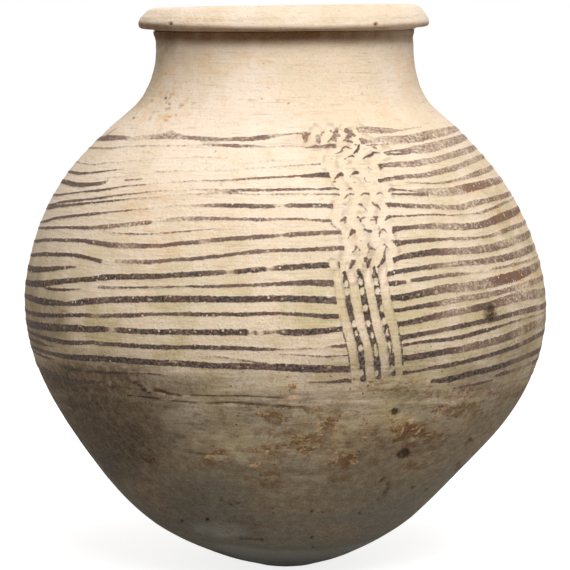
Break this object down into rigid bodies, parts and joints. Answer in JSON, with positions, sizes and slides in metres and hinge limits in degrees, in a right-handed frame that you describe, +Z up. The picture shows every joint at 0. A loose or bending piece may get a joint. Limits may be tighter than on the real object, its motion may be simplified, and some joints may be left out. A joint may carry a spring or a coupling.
{
  "type": "ovoid storage jar",
  "caption": "Large round-bottomed ovoid storage jar of fired clay with a short neck, a rolled rim and combed dark slip bands.",
  "frame": {"origin": "on the floor, under the centre of the belly's widest ring", "axes": "+Z up the jar's axis through the mouth, -Y towards the side with the band of combed strokes, +X to its right"},
  "size_m": [0.3906, 0.3906, 0.4206],
  "materials": {
    "rim_clay": "matt fired clay, pale buff, worn",
    "body_clay": "matt fired clay, greenish buff, with wiped marks",
    "base_clay": "matt fired clay, greyer, with pits and lime crust",
    "dark_slip": "matt dark brown slip over pale clay, combed"
  },
  "bodies": {
    "root": {"base_bowl": "base_clay", "base_joint_coil": "body_clay", "body_wall": "body_clay", "neck_joint_coil": "body_clay", "neck_collar": "rim_clay", "rim_joint_fillet": "rim_clay", "rim_coil": "rim_clay", "slip_coat": "dark_slip"}
  },
  "joints": []
}
